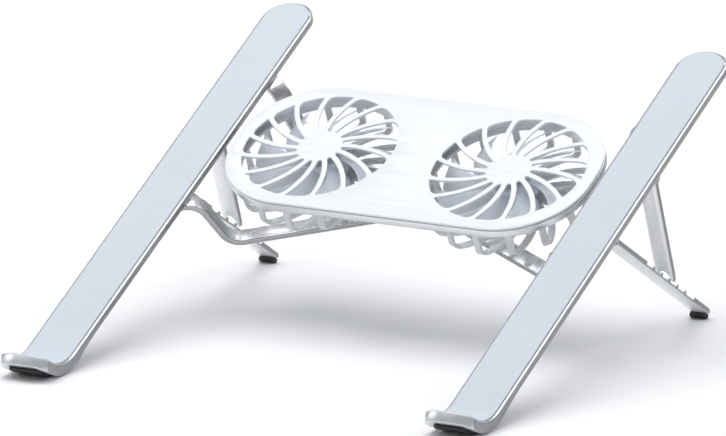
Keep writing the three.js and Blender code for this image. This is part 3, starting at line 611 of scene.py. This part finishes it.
def rib(index, verts, faces):
    """One swirling L-shaped rib of a cage: down the wall, round a bend and inwards to the motor plate."""
    half_wide, half_thick, soft = 1.7, 0.85, 0.4
    wall, bend, inner, motor_plate = 41.1, 3.2, 12.5, 14
    top, low = -7.4, CAGE_LOW + half_thick
    swirl, slant = math.radians(34), 0.35
    start = index * 2 * math.pi / RIBS
    path = [(wall, z) for z in steps(top, low + bend, 4)]
    path += arc(wall - bend, low + bend, bend, 0, -math.pi / 2, 10)[1:]
    path += [(r, low) for r in steps(wall - bend, inner, 14)[1:]]
    section = rounded_box(half_thick, half_wide, soft, 3)
    first = len(verts)
    for i, (r, z) in enumerate(path):
        inward = min(max((wall - r) / (wall - motor_plate), 0), 1)
        angle = start + swirl * inward
        before, after = path[max(i - 1, 0)], path[min(i + 1, len(path) - 1)]
        along = Vector((after[0] - before[0], after[1] - before[1])).normalized()
        across = Vector((along.y, -along.x))
        lean = slant * min(inward * 6, 1)
        for a, b in section:
            radius = r + a * across.x + b * lean
            verts.append((radius * math.cos(angle) - b * math.sin(angle),
                          radius * math.sin(angle) + b * math.cos(angle), z + a * across.y))
    count = len(section)
    faces += shifted(rings_to_faces(count, len(path)), first)
    faces += end_caps(first, count, len(path))


def lathe_mesh(profile, verts, faces, count=96):
    """Adds a ring turned from a closed profile of (radius, height) points."""
    first = len(verts)
    for r, z in profile:
        verts += [(r * math.cos(a), r * math.sin(a), z) for a in steps(0, 2 * math.pi, count)[:-1]]
    faces += shifted(rings_to_faces(count, len(profile), closed=True), first)


def make_cage(word, place):
    """Ribs with the ring that joins their tops and the motor plate that joins their feet."""
    verts, faces = [], []
    for i in range(RIBS):
        rib(i, verts, faces)
    lathe_mesh([(38.9, -6.9), (39.0, -6.8), (42.4, -6.8), (42.6, -7.0), (42.6, -8.2), (42.4, -8.4),
                (39.1, -8.4), (38.9, -8.2)], verts, faces)
    lathe_mesh([(1.8, -19.5), (13.6, -19.5), (14, -19.9), (14, -21.0), (13.6, CAGE_LOW), (10.2, CAGE_LOW),
                (9.9, -21.1), (9.3, -21.1), (9.0, CAGE_LOW), (0.6, CAGE_LOW), (0.6, -20.5), (1.8, -20.5)],
               verts, faces)
    return piece(word + "_cage", verts, faces, place, CAGE_GREY, "fan_module", sharp=40)


def blade(start, verts, faces):
    """Swept, cambered blade with a rounded edge all round."""
    hub, tip, top, low, skin = 12, 36, -6.2, -15.2, 1.2
    root = hub - 0.6
    sweep, pitch, arch = math.radians(30), math.radians(24), 0.10
    across = [(0, 0.25), (0.04, 0.75), (0.15, 1), (0.5, 1), (0.85, 1), (0.96, 0.75), (1, 0.25)]
    loop = across + [(z, -w) for z, w in reversed(across)]
    # (radius, share of the skin, share of the height): the last two rings round off the tip.
    rings = [(r, 1, 1) for r in steps(root, tip - 0.6, 14)] + [(tip - 0.15, 0.8, 0.97), (tip, 0.35, 0.97)]
    first = len(verts)
    for r, thin, short in rings:
        lean = start - sweep * (r - root) / (tip - root)
        for z, w in loop:
            ahead = pitch * (1 - 1.35 * z) * (hub / r + 0.35)
            camber = arch * math.sin(math.pi * z) * hub / r
            angle = lean + ahead + camber + w * thin * skin / 2 / r
            height = low + (top - low) * (0.5 + (z - 0.5) * short)
            verts.append((r * math.cos(angle), r * math.sin(angle), height))
    count = len(loop)
    faces += shifted(rings_to_faces(count, len(rings)), first)
    faces += end_caps(first, count, len(rings))


def make_rotor(word, place):
    """Cupped hub over the motor, with its blades."""
    verts, faces = [], []
    lathe_mesh([(10.3, -15.0), (11.8, -15.0), (12, -14.8), (12, -6.9), (11.6, -6.0), (10.9, -5.5),
                (10.2, -5.4), (3.2, -5.4), (3.0, -5.6), (0.4, -5.6), (0.4, -6.6), (1.8, -6.6), (1.8, -8.6),
                (10.3, -8.6)], verts, faces)
    for i in range(BLADES):
        blade(i * 2 * math.pi / BLADES, verts, faces)
    return piece(word + "_rotor_fine", verts, faces, place, BLADE, word + "_rotor", sharp=50)


for word, side in SIDES.items():
    here = tilted(side * FAN_X, FAN_U)
    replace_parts(make_cage(word, here), word + "_fan_cage")
    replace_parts(make_rotor(word, here), word + "_fan_rotor")
    refine(word + "_fan_motor", MOTOR, 0.4)
    refine(word + "_fan_shaft", STEEL, 0.2)

refine("centre_post", CAGE_GREY, 0.3)
refine("centre_rivet", STEEL, 0.3)
refine("post_screw_1", STEEL, 0.25)
refine("post_screw_2", STEEL, 0.25)
refine("circuit_board", BOARD, 0.1)
refine("power_socket", STEEL, 0.12)

# ---------------------------------------------------------------- floor, light
floor_half = 6  # metres
corners = [(x * floor_half, y * floor_half, 0) for x, y in ((-1, -1), (1, -1), (1, 1), (-1, 1))]
floor_mesh = bpy.data.meshes.new("floor")
floor_mesh.from_pydata(corners, [], [(0, 1, 2, 3)])
floor_mesh.materials.append(finish("pale_floor", (0.95, 0.952, 0.955), 0.8, tint=0.995, mottle=3,
                                   grain=200, bump=0.0, Specular_IOR_Level=0.2))
floor = bpy.data.objects.new("floor", floor_mesh)
bpy.context.scene.collection.objects.link(floor)


def softbox(name, location, size, energy):
    """Rectangular light that faces the stand."""
    light = bpy.data.lights.new(name, "AREA")
    light.shape = "RECTANGLE"
    light.size, light.size_y = size
    light.energy = energy
    lamp = bpy.data.objects.new(name, light)
    lamp.location = location
    lamp.rotation_euler = (-Vector(location)).to_track_quat("-Z", "Y").to_euler()
    bpy.context.scene.collection.objects.link(lamp)


softbox("overhead", (-0.5, 0.2, 2.2), (2.2, 2.2), 38)
softbox("left_window", (-2.2, -1.2, 1.3), (1.4, 1.4), 8)
softbox("right_rear", (1.9, 1.5, 2.2), (1.7, 1.7), 15)
world = bpy.data.worlds.new("studio")
world.use_nodes = True
sky = world.node_tree.nodes["Background"]
sky.inputs["Color"].default_value = (0.93, 0.96, 1.0, 1)
sky.inputs["Strength"].default_value = 0.46
bpy.context.scene.world = world
